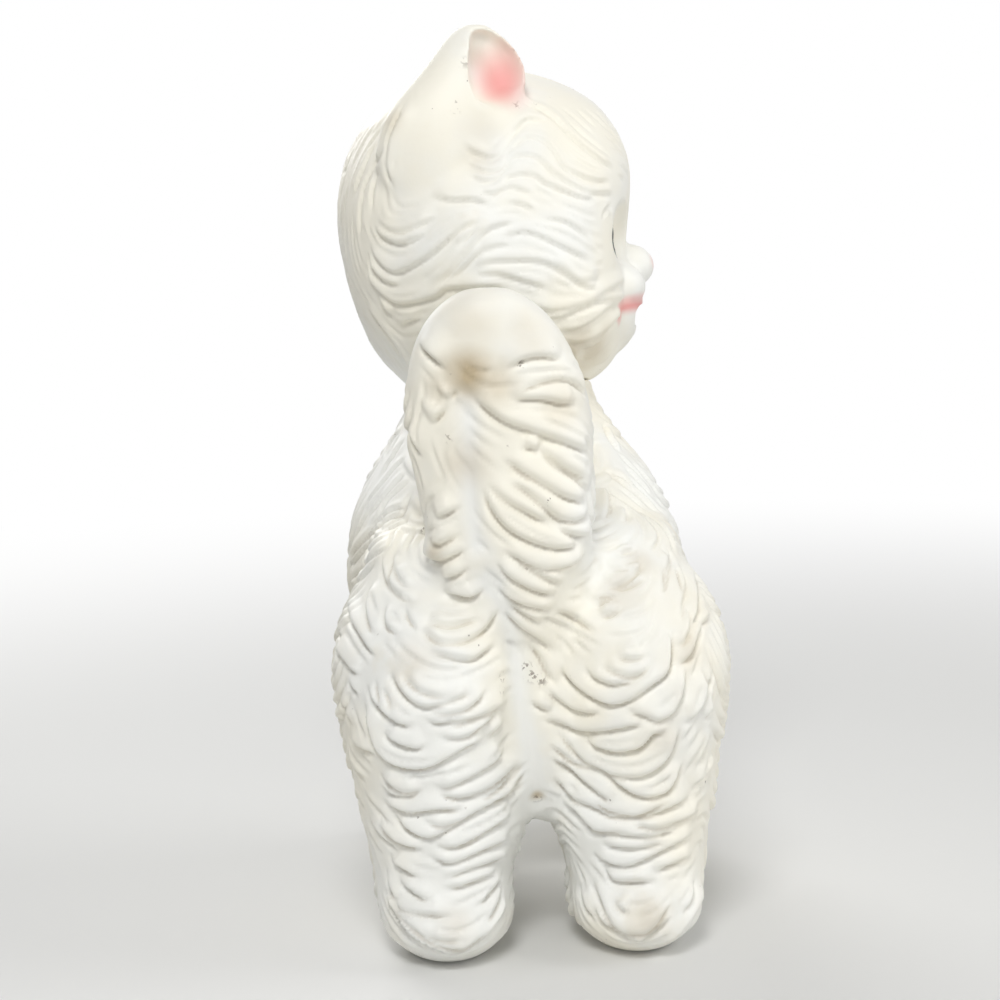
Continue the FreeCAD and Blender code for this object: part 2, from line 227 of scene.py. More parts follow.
def outer_island(mesh):
    """Keeps the island of a mesh that has the largest box."""
    points = mesh_points(mesh)
    label = island_labels(len(points), read(mesh.edges, "vertices", np.int32, 2))
    spans = {name: np.ptp(points[label == name], axis=0).sum() for name in np.unique(label)}
    keep = label == max(spans, key=spans.get)
    quads = read(mesh.loops, "vertex_index", np.int32, 1).reshape(-1, 4)
    quads = quads[keep[quads[:, 0]]]
    fresh = np.cumsum(keep) - 1
    return points[keep], fresh[quads]


def mould_skin(node, cups, voxel, name):
    """Makes the even outer skin of a packed shell."""
    points, faces = mesh_arrays(frame["nodes"][node].data)
    faces = [tuple(f) for f in faces]
    for extra_points, extra_faces in cups:
        start = len(points)
        points = np.vstack([points, extra_points])
        faces += [tuple(i + start for i in f) for f in extra_faces]
    soup = new_piece(name + "_soup", points, faces)
    remesh = soup.modifiers.new("remesh", "REMESH")
    remesh.mode = "VOXEL"
    remesh.voxel_size = voxel
    smooth = soup.modifiers.new("smooth", "SMOOTH")
    smooth.factor = 0.5
    smooth.iterations = 4
    mesh = evaluated_copy(soup)
    points, faces = outer_island(mesh)
    bpy.data.meshes.remove(mesh)
    bpy.data.objects.remove(soup)
    skin = new_piece(name, points, faces)
    print(name, "vertices", len(points), "quads", len(faces))
    return skin


# %% [markdown]
# On the real figure the trunk, the legs and the tail flow into one another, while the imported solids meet
# in plain seams. Averaging each vertex with its neighbours softens the seams. A strength at each vertex
# keeps the soles, the collar, the rim and the face as they are.

# %% Softening the joins between the trunk, the legs and the tail
COLLAR_CLEAR = 24 * MM
COLLAR_DEPTH = 16 * MM
BELLY_TOP = 45 * MM


def skin_points(skin):
    return mesh_points(skin.data)


def skin_normals(skin):
    return read(skin.data.vertex_normals, "vector").astype(float)


def place_skin(skin, points):
    skin.data.vertices.foreach_set("co", points.astype(np.float32).ravel())
    skin.data.update()


def soften(skin, passes, strength, undo=0.0):
    """Averages each vertex with its neighbours, by a strength of 0 to 1 at each vertex.

    With undo, each pass is followed by one the other way, which keeps the broad forms."""
    points = skin_points(skin)
    edges = read(skin.data.edges, "vertices", np.int32, 2)
    degree = np.bincount(edges.ravel(), minlength=len(points))[:, None]
    amount = strength(points)[:, None]
    ways = (1, -undo) if undo else (1,)
    for step in range(passes):
        for way in ways:
            total = np.zeros_like(points)
            for axis in range(3):
                total[:, axis] += np.bincount(edges[:, 0], points[edges[:, 1], axis], len(points))
                total[:, axis] += np.bincount(edges[:, 1], points[edges[:, 0], axis], len(points))
            points += (total / degree - points) * amount * way
    place_skin(skin, points)


def body_softness(points):
    """Nothing moves near the soles, the collar or the whistle, and the joins move the most."""
    local = in_head(points)
    from_axis = np.hypot(local[:, 0], local[:, 1])
    collar = rise(from_axis, COLLAR_CLEAR, 5 * MM) + (local[:, 2] < -COLLAR_DEPTH)
    from_whistle = np.hypot(points[:, 0] - whistle[0], points[:, 1] - whistle[1])
    belly = rise(from_whistle, 12 * MM, 4 * MM) + (points[:, 2] > BELLY_TOP)
    sole = rise(points[:, 2], 2 * MM, 6 * MM)
    join = rise(points[:, 2], 48 * MM, 12 * MM) * fall(points[:, 2], 120 * MM, 12 * MM)
    return np.clip(collar, 0, 1) * np.clip(belly, 0, 1) * sole * (0.35 + 0.65 * join)


def head_softness(points):
    """The voxels' steps go everywhere, but the rim, the face and the ears' edges keep their form."""
    reach, side, height = (in_head(points) / MM).T
    face = rise(reach, 19, 4) * fall(height, 46, 4)
    return 0.5 * rise(height, 1.5, 3) * (1 - 0.75 * face)


def soft_blob(points, centre, size, edge=0.5):
    """Gives 1 inside an ellipsoid, 0 outside, and a soft edge between them."""
    distance = np.sqrt((((points - np.array(centre)) / np.array(size)) ** 2).sum(1))
    return 1 - rise(distance, 1 - edge, edge)


def ear_softness(points):
    """The ear's hollow runs out into the brow without an edge."""
    local = in_head(points) / MM
    local[:, 1] = abs(local[:, 1])
    return soft_blob(local, EAR_FOOT, EAR_FOOT_SIZE, 0.7)


def round_paws(skin):
    """Tucks the lower edge of each paw in towards the middle of its sole."""
    points = skin_points(skin)
    low = points[:, 2] < PAW_ROUND
    for left in (True, False):
        for hind in (True, False):
            paw = low & ((points[:, 0] > 0) == left) & ((points[:, 1] > 0) == hind)
            middle = points[paw & (points[:, 2] < MM), :2].mean(0)
            down = 1 - np.clip(points[paw, 2] / PAW_ROUND, 0, 1)
            tuck = PAW_TUCK * (1 - np.sqrt(1 - down ** 2))
            points[paw, :2] = middle + (points[paw, :2] - middle) * (1 - tuck)[:, None]
            print("paw at", np.round(middle / MM, 1))
    place_skin(skin, points)


# %% The body's skin
VOXEL = 0.69 * MM
PAW_ROUND = 7.5 * MM
PAW_TUCK = 0.27
EAR_FOOT = (5, 30, 61)
EAR_FOOT_SIZE = (14, 9, 6.5)
COLLAR_WELL = [(17, -2), (19.25, -2), (19.25, -11.5), (0, -11.5), (0, -9), (17, -9)]
WHISTLE_WELL = [(8.2, 30), (10.5, 30), (10.5, 40.5), (0, 40.5), (0, 38), (8.2, 38)]
PLUG_FLOOR = [(0, -6), (11, -6), (11, -2.5), (0, -2.5)]
whistle = [sum(c) / 2 for c in zip(*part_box("whistle_case"))]
body_cups = [
    lathe([(r * MM, h * MM) for r, h in COLLAR_WELL], NECK, AXIS),
    lathe([(r * MM, h * MM) for r, h in WHISTLE_WELL], (whistle[0], whistle[1], 0), (0, 0, 1)),
]
body_skin = mould_skin("body_shell", body_cups, VOXEL, "body_fur")
SOFT_PASSES = int(15 * (MM / VOXEL) ** 2)
soften(body_skin, SOFT_PASSES, body_softness)
round_paws(body_skin)

# %% The head's skin
head_cups = [lathe([(r * MM, h * MM) for r, h in PLUG_FLOOR], NECK, AXIS)]
head_skin = mould_skin("head_shell", head_cups, VOXEL, "head_fur")
soften(head_skin, SOFT_PASSES, head_softness, undo=1.05)
soften(head_skin, 2 * SOFT_PASSES, ear_softness)

# %% [markdown]
# The fur is a set of creases. Each crease is the lower edge of a lock: above it the rubber swells up
# roundly, and below it drops into a narrow valley. Sculpting by hand or a picture of the relief could
# make them too, but lines in code can be corrected one by one. They are listed from the picture, region
# by region. Each row is one line, x and y of pixel after pixel, and a smooth curve runs through it.

# %% Locks on the rump, read from the picture
RUMP_LEFT = [
    [422, 618, 435, 624, 450, 627, 470, 622, 486, 617],
    [418, 625, 437, 642, 453, 644, 470, 640, 487, 628, 500, 608],
    [425, 650, 445, 656, 462, 660, 475, 659, 488, 650, 500, 643],
    [400, 668, 413, 687, 427, 695, 443, 696, 455, 690],
    [387, 670, 403, 695, 420, 707, 437, 706, 462, 697, 477, 688],
    [423, 708, 440, 714, 463, 711, 477, 702, 491, 688],
    [420, 718, 437, 724, 450, 722, 478, 717, 497, 705],
    [364, 683, 372, 700, 382, 713, 397, 724, 420, 728],
    [380, 727, 387, 738, 403, 747, 420, 749, 433, 745],
    [435, 738, 460, 739, 477, 731, 490, 720, 503, 706],
    [363, 701, 368, 727, 375, 748, 387, 762, 403, 769, 427, 769, 447, 760, 467, 748, 487, 740],
    [377, 772, 387, 783, 403, 792, 420, 791, 425, 785],
    [430, 786, 447, 788, 473, 777, 493, 764, 508, 746],
    [432, 790, 452, 798, 473, 796, 493, 785, 514, 767, 526, 757],
    [473, 803, 493, 793, 519, 770, 531, 762],
    [440, 729, 463, 724, 493, 711, 511, 703],
    [495, 795, 515, 770, 525, 758],
    [505, 798, 520, 780, 528, 770],
    [487, 740, 507, 720],
]
RUMP_RIGHT = [
    [503, 602, 520, 613, 545, 627],
    [493, 586, 509, 600, 534, 608, 556, 612],
    [500, 612, 520, 630, 545, 645, 557, 660],
    [639, 553, 640, 568, 623, 584, 598, 592],
    [590, 601, 606, 597, 620, 599],
    [605, 572, 622, 570, 636, 574],
    [552, 612, 567, 615, 583, 625, 597, 634],
    [593, 607, 603, 602, 615, 600],
    [595, 616, 610, 614, 622, 605],
    [610, 654, 627, 660, 642, 658, 650, 652],
    [597, 662, 608, 670, 623, 676, 638, 676, 648, 667, 653, 655],
    [581, 665, 593, 678, 610, 685, 627, 683, 645, 676],
    [555, 661, 567, 678, 583, 693, 600, 703, 614, 706, 633, 700, 650, 688, 667, 675, 672, 660, 672, 627],
    [539, 685, 560, 702, 575, 711, 593, 714, 605, 712],
    [620, 711, 642, 716, 658, 722, 673, 715, 680, 703, 685, 687, 687, 663],
    [538, 719, 557, 723, 580, 732, 603, 732, 627, 728, 650, 724],
    [582, 737, 597, 748, 617, 753, 638, 750, 648, 742, 655, 735, 673, 733],
    [557, 728, 567, 743, 583, 759, 603, 771, 623, 777, 643, 777, 660, 768, 672, 753, 682, 725],
    [682, 725, 693, 719, 703, 705, 707, 687, 703, 665],
    [547, 743, 575, 763, 600, 770, 617, 785, 633, 795, 650, 798, 667, 793, 675, 782, 685, 760],
    [548, 757, 570, 770, 587, 785, 606, 799, 623, 803],
    [552, 775, 572, 798, 593, 808, 611, 817, 636, 818, 662, 812, 692, 797],
    [560, 805, 575, 812, 590, 828, 611, 834, 649, 837, 682, 828],
    [525, 640, 538, 656, 548, 675, 560, 690],
    [528, 700, 540, 708, 556, 714],
]

# %% Locks on the flanks
FLANKS = [
    [360, 575, 352, 588, 348, 603, 350, 620, 358, 635, 368, 650, 378, 658],
    [372, 580, 365, 608, 370, 630, 378, 638],
    [385, 602, 384, 623, 390, 630, 403, 635],
    [382, 563, 385, 582, 392, 590, 403, 598, 418, 601],
    [402, 605, 410, 622, 420, 632],
    [335, 651, 353, 673, 363, 675],
    [687, 553, 697, 583, 699, 607, 692, 627, 679, 647],
    [705, 622, 697, 642, 687, 660, 676, 668],
    [340, 600, 336, 622, 340, 640],
    [338, 690, 345, 712, 352, 730],
    [346, 745, 355, 768, 366, 785],
    [352, 560, 342, 585, 338, 600],
    [395, 560, 396, 574, 404, 585, 418, 588],
    [372, 677, 378, 693, 383, 712],
    [380, 685, 388, 700, 394, 717],
    [346, 680, 358, 698],
    [348, 735, 358, 747, 377, 757],
    [662, 592, 664, 575, 665, 560],
    [680, 630, 682, 615, 687, 590, 685, 577, 680, 560],
    [673, 652, 687, 640, 690, 625, 686, 600],
    [697, 620, 699, 598, 695, 577],
    [675, 665, 693, 657, 697, 640, 700, 623],
    [700, 625, 705, 622, 712, 615],
    [706, 700, 710, 685, 715, 668],
    [704, 722, 716, 708],
    [697, 770, 705, 750, 714, 735],
    [690, 792, 702, 780, 712, 765, 713, 745],
    [664, 600, 668, 580, 672, 560, 668, 545],
    [684, 600, 680, 580, 675, 560],
    [702, 600, 697, 575, 690, 555],
    [712, 590, 705, 560],
]

# %% Locks on the hind legs and paws
LEGS = [
    [378, 785, 388, 793, 400, 797, 412, 796, 425, 787],
    [380, 800, 395, 809, 410, 814, 435, 811, 470, 810],
    [392, 812, 407, 830, 427, 839, 446, 832, 473, 815, 509, 795, 529, 780],
    [437, 848, 463, 846, 493, 828, 514, 815],
    [368, 821, 386, 841, 401, 854],
    [420, 818, 430, 824, 445, 826, 475, 815],
    [375, 820, 388, 835, 400, 845, 427, 852],
    [430, 845, 445, 848, 460, 846, 490, 830, 505, 822],
    [425, 855, 440, 862, 455, 863, 490, 848, 512, 840],
    [388, 850, 395, 865, 425, 882],
    [440, 882, 470, 870, 510, 857],
    [395, 880, 420, 898, 440, 903],
    [440, 888, 460, 887, 500, 872],
    [390, 895, 400, 908, 415, 914, 455, 917],
    [475, 912, 497, 885, 505, 868],
    [408, 920, 425, 938, 445, 948, 465, 948, 490, 928],
    [420, 928, 440, 940, 470, 940],
    [590, 795, 605, 808, 622, 814, 640, 815, 672, 798],
    [625, 820, 640, 826, 658, 828, 690, 818, 702, 808],
    [583, 822, 592, 834, 630, 830],
    [598, 845, 635, 849, 672, 840],
    [590, 852, 600, 860, 615, 866, 632, 866, 660, 853, 695, 835],
    [602, 862, 608, 875, 618, 882, 660, 882],
    [650, 874, 680, 862, 695, 855],
    [612, 897, 620, 910, 632, 914],
    [590, 880, 598, 895, 605, 912, 615, 927, 630, 934, 650, 931, 675, 900],
    [590, 905, 605, 925, 625, 938, 645, 940, 675, 915],
    [383, 884, 394, 914, 413, 938, 442, 953, 463, 953, 483, 940, 500, 919, 509, 897],
    [389, 901, 409, 925, 431, 942, 457, 949, 478, 942],
    [572, 893, 587, 924, 604, 942, 626, 954, 650, 953, 674, 938, 693, 917, 704, 893],
    [578, 880, 584, 905, 596, 925],
    [696, 875, 692, 900, 680, 920],
    [384, 865, 390, 890, 402, 910],
    [505, 880, 495, 910, 480, 930],
]

# %% Locks on the tail
TAIL = [
    [504, 400, 540, 400, 560, 404, 580, 404],
    [470, 395, 484, 408, 504, 422, 532, 432, 560, 442, 590, 454],
    [520, 446, 540, 452],
    [542, 444, 552, 458, 570, 472, 590, 480],
    [504, 460, 524, 476, 540, 484],
    [504, 480, 520, 488, 540, 504, 560, 520, 580, 520, 592, 508],
    [484, 482, 504, 500, 528, 514, 552, 527],
    [508, 554, 528, 568, 552, 582, 566, 585],
    [495, 560, 505, 575, 520, 585, 540, 593, 560, 596],
    [416, 343, 430, 357, 449, 373],
    [504, 373, 523, 361, 545, 358, 566, 362],
    [510, 396, 533, 387, 557, 381, 574, 384, 588, 396],
    [539, 443, 553, 463, 574, 478, 590, 494],
    [500, 457, 521, 471, 541, 484, 565, 498, 588, 504],
    [482, 486, 492, 512, 512, 533, 541, 546, 565, 549, 582, 543],
    [553, 522, 570, 535, 592, 537],
    [500, 549, 521, 561, 545, 569, 570, 567, 588, 552],
    [430, 425, 440, 415, 445, 405],
    [450, 400, 455, 390],
    [432, 518, 445, 515, 462, 505],
    [420, 460, 406, 425],
    [425, 538, 440, 545, 462, 532],
    [424, 554, 440, 562, 468, 548],
    [440, 580, 456, 576, 470, 566],
    [438, 590, 450, 594, 472, 598, 486, 586],
]

# %% Fine strands on the shoulders
SHOULDERS = [
    [403, 418, 399, 430, 393, 438, 387, 449, 383, 460],
    [408, 434, 400, 443, 392, 457, 386, 465, 380, 478],
    [418, 453, 403, 459, 393, 469, 381, 484, 368, 501, 362, 516],
    [419, 465, 409, 468, 399, 478, 389, 490, 378, 503, 367, 517],
    [420, 478, 409, 480, 396, 491, 386, 501, 378, 515, 365, 531],
    [419, 484, 412, 490, 403, 506, 392, 509, 377, 521, 367, 534, 353, 551, 346, 566],
    [414, 493, 406, 501, 402, 513, 389, 519, 374, 531, 361, 543, 352, 554, 345, 570],
    [412, 509, 405, 521, 394, 526, 381, 532, 370, 543, 358, 556, 349, 570, 345, 584],
    [414, 516, 402, 525, 394, 531, 389, 545, 383, 554, 381, 566, 384, 579, 392, 594],
    [389, 545, 374, 556, 359, 572, 350, 581, 348, 595, 349, 610],
    [418, 525, 411, 538, 406, 548, 406, 559],
    [399, 550, 393, 556, 392, 570, 390, 581, 396, 594, 412, 600],
    [605, 419, 608, 432, 618, 448, 626, 454],
    [601, 468, 610, 472, 624, 478, 636, 491, 640, 495],
    [594, 463, 604, 470, 618, 478, 626, 485, 639, 495, 651, 506, 662, 515],
    [629, 457, 642, 472, 654, 487, 662, 501],
    [624, 463, 639, 481, 648, 490, 654, 498],
    [595, 485, 605, 487, 610, 498, 607, 513, 599, 520],
    [611, 495, 612, 507, 608, 516],
    [598, 484, 604, 484, 613, 493, 624, 501, 639, 512, 651, 522, 659, 534, 657, 543, 648, 554],
    [613, 491, 633, 506, 654, 518, 665, 528, 673, 543, 674, 554],
    [624, 503, 627, 510, 626, 518, 621, 522],
    [613, 553, 624, 552, 633, 548, 635, 544],
    [615, 566, 629, 563, 638, 559, 641, 551],
    [601, 587, 618, 588, 630, 585, 642, 579, 648, 570],
    [657, 545, 665, 551, 669, 559, 665, 573, 664, 585, 661, 600],
    [674, 544, 686, 551, 693, 566, 695, 581, 698, 595, 696, 609],
    [683, 575, 686, 585, 684, 598, 679, 614],
    [673, 537, 686, 548, 692, 559, 701, 573],
]

# %% Strands on the head
EAR_CURLS = [
    [460, 142, 475, 153, 492, 158, 502, 152, 510, 140, 520, 125, 530, 119, 552, 121],
    [463, 160, 478, 170, 492, 173, 503, 167, 510, 150, 522, 140,
     532, 137, 545, 142, 555, 153, 565, 168, 590, 180, 612, 182],
    [465, 170, 478, 180, 492, 181, 503, 172, 512, 158, 525, 155, 538, 158, 556, 175, 585, 192, 615, 195],
    [470, 188, 480, 193, 492, 194, 503, 188, 508, 178, 520, 175, 535, 176, 548, 185, 582, 198, 600, 198],
    [480, 200, 490, 199, 500, 192, 512, 188, 525, 192, 540, 196],
    [520, 100, 550, 115, 575, 140, 600, 160, 615, 170],
    [505, 205, 518, 204, 538, 212],
]
CHEEK = [
    [540, 222, 555, 221, 570, 225, 590, 240],
    [500, 240, 515, 235, 530, 234, 560, 247, 590, 262],
    [475, 262, 485, 252, 500, 247, 515, 246],
    [470, 270, 485, 265, 500, 262, 535, 262, 550, 266, 565, 275, 578, 282, 602, 278],
    [470, 278, 490, 275, 510, 278, 540, 287, 552, 288],
    [525, 302, 540, 310, 560, 311, 590, 302, 605, 293, 630, 280],
    [540, 318, 560, 318, 580, 310, 600, 302, 628, 300],
    [555, 330, 575, 330, 595, 320, 610, 308, 625, 302],
    [560, 342, 580, 343, 600, 335, 622, 315],
    [575, 350, 595, 345, 618, 320],
    [568, 340, 573, 365, 578, 372, 590, 377],
    [576, 362, 592, 358, 610, 342],
    [584, 371, 600, 364, 616, 348],
    [540, 262, 560, 268, 580, 285, 600, 290],
]
EYE_FOLDS = [
    [602, 221, 605, 212, 613, 204],
    [609, 212, 613, 219, 616, 228],
]
NAPE = [
    [375, 218, 385, 228, 398, 233, 412, 229, 440, 215],
    [372, 225, 380, 236, 392, 243, 405, 244, 430, 232],
    [368, 245, 378, 262, 390, 272, 402, 272, 430, 256, 458, 232, 485, 218],
    [367, 250, 372, 268, 382, 280, 395, 285, 403, 283],
    [365, 262, 370, 280, 380, 293, 392, 302, 405, 305, 435, 298, 448, 290, 480, 288, 510, 287],
    [430, 290, 445, 278, 460, 262, 475, 245, 490, 230, 520, 222],
    [445, 288, 460, 272, 475, 257, 490, 240],
    [455, 250, 470, 235, 480, 225],
    [375, 290, 385, 310, 395, 320],
    [365, 305, 380, 325, 395, 345, 405, 365],
    [398, 328, 410, 322, 425, 318],
    [385, 140, 378, 160, 368, 180, 362, 200, 360, 240],
    [407, 98, 393, 127, 387, 145, 386, 170, 395, 190],
    [380, 167, 373, 190, 371, 217],
    [400, 112, 378, 140, 364, 168, 352, 200],
    [428, 197, 453, 201, 474, 201, 495, 206],
]

# %% Furrows between the haunches and along the tail
FURROWS = [
    [478, 560, 492, 585, 505, 615, 515, 650, 522, 700, 530, 750, 538, 800, 541, 822],
    [462, 380, 468, 420, 468, 450, 468, 490, 474, 535, 480, 565],
]

# %% [markdown]
# A line on the picture becomes a line on the rubber in two steps. A Catmull-Rom curve passes through the
# listed points, and each of its samples is sent along the camera's ray. The swelling side is the side
# that the line bends round, or else the upper side, and the line is turned so that it lies on the left.

# %% From picture lines to lines on the skin
PIXEL_STEP = 3
SURFACE_STEP = 0.7 * MM
BREAK = 5 * MM
BEND_SHARE = 6
DOWN_SHARE = 0.7


def curve_through(points, step):
    """Samples a Catmull-Rom curve through the points."""
    points = np.asarray(points, float).reshape(-1, 2)
    ends = np.vstack([2 * points[0] - points[1], points, 2 * points[-1] - points[-2]])
    samples = []
    for a, b, c, d in zip(ends[:-3], ends[1:-2], ends[2:-1], ends[3:]):
        count = max(2, int(np.linalg.norm(c - b) / step))
        t = np.linspace(0, 1, count, endpoint=False)[:, None]
        cubic = (-a + 3 * b - 3 * c + d) * t ** 3 + (2 * a - 5 * b + 4 * c - d) * t ** 2
        samples.append(0.5 * (cubic + (c - a) * t + 2 * b))
    samples.append(points[-1:])
    return np.vstack(samples)


def swelling_left(line):
    """Turns a picture line so that its lock lies on its left, and says how one-sided it is."""
    line = np.asarray(line, float).reshape(-1, 2)
    chord = line[-1] - line[0]
    length = np.linalg.norm(chord)
    left = np.array([chord[1], -chord[0]]) / length
    bend = line[[0, -1]].mean(0) - line.mean(0)
    lean = left @ (bend / length * BEND_SHARE + np.array([0, -DOWN_SHARE]))
    if lean < 0:
        line = line[::-1]
    return line, min(1, abs(lean) * 1.4)


def on_skin(line, tree):
    """Sends a picture line onto the skin and gives its longest unbroken run."""
    runs = [[]]
    last = None
    for x, y in curve_through(line, PIXEL_STEP):
        place, normal, face, distance = tree.ray_cast(EYE, ray(x, y))
        if place is None:
            last = None
            continue
        if last is None or (place - last).length > BREAK:
            runs.append([])
        runs[-1].append(place)
        last = place
    best = max(runs, key=len)
    return np.array([tuple(p) for p in best])


def picture_creases(kinds, tree):
    """Carries each kind's lines onto the skin, with its height, width and valley."""
    creases = []
    for group, *sizes in kinds:
        height, width, valley = (size * MM for size in sizes)
        for line in group:
            line, lean = swelling_left(line)
            run = on_skin(line, tree)
            if len(run) > 2:
                creases.append({"run": run, "height": height, "width": width, "valley": valley, "lean": lean})
    return creases


def picture_furrows(group, tree, breadth, depth):
    """Wide troughs with nothing swelling beside them."""
    furrows = []
    for line in group:
        furrow = {"run": on_skin(line, tree), "height": 0, "lean": 0}
        furrow.update(width=3 * breadth, valley=depth, breadth=breadth)
        furrows.append(furrow)
    return furrows


def skin_tree(skin):
    points, faces = mesh_arrays(skin.data)
    return BVHTree.FromPolygons(points.tolist(), faces.tolist())


# %% Height, width and valley of each kind of lock in millimetres
BODY_KINDS = [
    (RUMP_LEFT + RUMP_RIGHT, 1.7, 6.5, 0.95),
    (FLANKS, 1.5, 5.5, 0.85),
    (LEGS, 1.7, 5.5, 0.95),
    (TAIL, 1.9, 7.5, 0.95),
    (SHOULDERS, 1.2, 3.5, 0.75),
]
HEAD_KINDS = [
    (EAR_CURLS, 1.1, 3.5, 0.55),
    (CHEEK, 1.1, 4.5, 0.5),
    (NAPE, 1.2, 5, 0.6),
    (EYE_FOLDS, 0.8, 2.5, 0.5),
]
FURROW_BREADTH = 2.6 * MM
FURROW_DEPTH = 1.2 * MM
body_tree = skin_tree(body_skin)
head_tree = skin_tree(head_skin)
body_creases = picture_creases(BODY_KINDS, body_tree)
furrows = picture_furrows(FURROWS, body_tree, FURROW_BREADTH, FURROW_DEPTH)
head_creases = picture_creases(HEAD_KINDS, head_tree)
print("creases from the picture", len(body_creases), "on the body", len(head_creases), "on the head")

# %% [markdown]
# The far side of the head is the mirror of the near side, as on the real mould, so its strands are the
# same lines mirrored across the face's middle plane.

# %% Strands on the far side of the head
def mirrored(crease):
    run = in_head(crease["run"])
    run[:, 1] *= -1
    return crease | {"run": (run @ HEAD_BASIS + np.array(NECK))[::-1]}


head_creases += [mirrored(crease) for crease in head_creases]

# %% [markdown]
# The front and the sides of the body are not in the picture. Tufts of the same make are grown there: a
# tuft is a few nested arcs that hang down across the way the fur lies. Seeds are spread with a least
# distance between them, and those that the camera sees are left out.

# %% Tufts where the picture shows none
TUFT_SPACING = 12 * MM
TUFT_SPAN = (17 * MM, 32 * MM)
TUFT_HEIGHT = 1.25 * MM
TUFT_WIDTH = 6 * MM
STRAND_GAP = 3.4 * MM
LEG_TOP = 48 * MM
SHOULDER = 90 * MM
GRAZING = 0.22
SEED_TRIES = 30000
FUR_WAY = Vector((0, 0.35, -1))


def spread_seeds(points, spacing, chance):
    """Picks places at least a spacing apart, in a seeded order."""
    order = chance.permutation(len(points))[:SEED_TRIES]
    picked = np.empty((0, 3))
    kept = []
    for index in order:
        place = points[index]
        if len(picked) and (((picked - place) ** 2).sum(1) < spacing ** 2).any():
            continue
        picked = np.vstack([picked, place])
        kept.append(index)
    return kept


def in_sight(place, normal, trees):
    """Says whether the camera sees a place well enough to show its locks."""
    toward = EYE - place
    if normal.dot(toward.normalized()) < GRAZING:
        return False
    start = place + normal * MM
    for tree in trees:
        if tree.ray_cast(start, toward.normalized())[0] is not None:
            return False
    return True


def tuft(place, normal, down, span, sag, skew, strands, tree):
    """Gives the nested arcs of one tuft, swelling on the upper side."""
    across = down.cross(normal).normalized()
    arcs = []
    for strand in range(strands):
        half = span / 2 * (1 - 0.13 * strand)
        lift = strand * STRAND_GAP
        run = []
        for u in np.linspace(-1, 1, 15):
            drop = sag * (1 - u * u) * (1 + skew * u) - lift
            spot = place - across * half * u + down * drop
            near = tree.find_nearest(spot)[0]
            run.append(tuple(near))
        arcs.append(np.array(run))
    return arcs


def grown_creases(skin, tree, trees, allowed, chance):
    """Grows tufts wherever they are allowed and the camera sees nothing."""
    points = skin_points(skin)
    normals = skin_normals(skin)
    creases = []
    for index in spread_seeds(points, TUFT_SPACING, chance):
        place = Vector(points[index])
        normal = Vector(normals[index])
        span = chance.uniform(*TUFT_SPAN)
        if place.z < LEG_TOP:
            span *= 0.7
        sag = span * chance.uniform(0.2, 0.36)
        skew = chance.uniform(-0.5, 0.5)
        turn = chance.uniform(-0.4, 0.4)
        strands = int(chance.integers(3, 6))
        if not allowed(place, normal) or in_sight(place, normal, trees):
            continue
        down = (FUR_WAY - normal * FUR_WAY.dot(normal)).normalized()
        down = Matrix.Rotation(turn, 3, normal) @ down
        for strand, run in enumerate(tuft(place, normal, down, span, sag, skew, strands, tree)):
            size = TUFT_HEIGHT * (1 - 0.08 * strand) * (0.7 if place.z > SHOULDER else 1)
            crease = {"run": run, "height": size, "width": TUFT_WIDTH, "valley": size * 0.5}
            creases.append(crease | {"lean": 0.85, "tip": 0.33})
    return creases


def body_allowed(place, normal):
    """No tuft starts on the soles, the collar, the well or the belly's underside."""
    above_neck = (place - NECK).dot(AXIS)
    from_axis = ((place - NECK) - AXIS * above_neck).length
    if place.z < 7 * MM or normal.z < -0.8:
        return False
    return not (above_neck > -6 * MM and from_axis < 25 * MM)


chance = np.random.default_rng(SEED)
trees = [body_tree, head_tree]
grown = grown_creases(body_skin, body_tree, trees, body_allowed, chance)
body_creases += grown
print("creases grown on the body", len(grown))

# %% [markdown]
# Between the listed creases the real fur goes on in thinner strands that run alongside them. They are
# combed in: a strand starts wherever there is room, follows the direction of the creases around it, and
# stops where it would run into another. A grid of small cells answers how near the next one is.

# %% Combing strands into the gaps
COMB_REACH = 4 * MM
COMB_TRIES = 40000
FEWEST_STEPS = 7
USUAL_SHARE = 0.02
CROWDING = 0.55


class Cells:
    """Keeps places in small cubes, so that near ones are found quickly."""

    def __init__(self, size):
        self.size = size
        self.held = {}

    def key(self, place):
        return tuple(int(math.floor(c / self.size)) for c in place)

    def add(self, place):
        self.held.setdefault(self.key(place), []).append(tuple(place))

    def crowded(self, place, distance):
        i, j, k = self.key(place)
        limit = distance * distance
        for a in (i - 1, i, i + 1):
            for b in (j - 1, j, j + 1):
                for c in (k - 1, k, k + 1):
                    for x, y, z in self.held.get((a, b, c), ()):
                        if (x - place[0]) ** 2 + (y - place[1]) ** 2 + (z - place[2]) ** 2 < limit:
                            return True
        return False


class Comb:
    """Knows which way the creases run around a place."""

    def __init__(self, creases, reach):
        starts = [crease["run"][:-1] for crease in creases]
        ways = [np.diff(crease["run"], axis=0) for crease in creases]
        self.places = np.vstack(starts).astype(np.float32)
        ways = np.vstack(ways)
        self.ways = (ways / np.maximum(np.linalg.norm(ways, axis=1), 1e-9)[:, None]).astype(np.float32)
        self.reach = reach

    def way(self, place, normal, usual):
        squares = ((self.places - np.float32(place)) ** 2).sum(1)
        near = squares < (3 * self.reach) ** 2
        weight = np.exp(-squares[near] / (2 * self.reach ** 2))[:, None]
        ways = self.ways[near]
        spread = (ways * weight).T @ ways
        flat = np.eye(3) - np.outer(normal, normal)
        usual = np.array(usual)
        spread = flat @ (spread + USUAL_SHARE * np.outer(usual, usual)) @ flat
        values, vectors = np.linalg.eigh(spread)
        return Vector(vectors[:, 2])


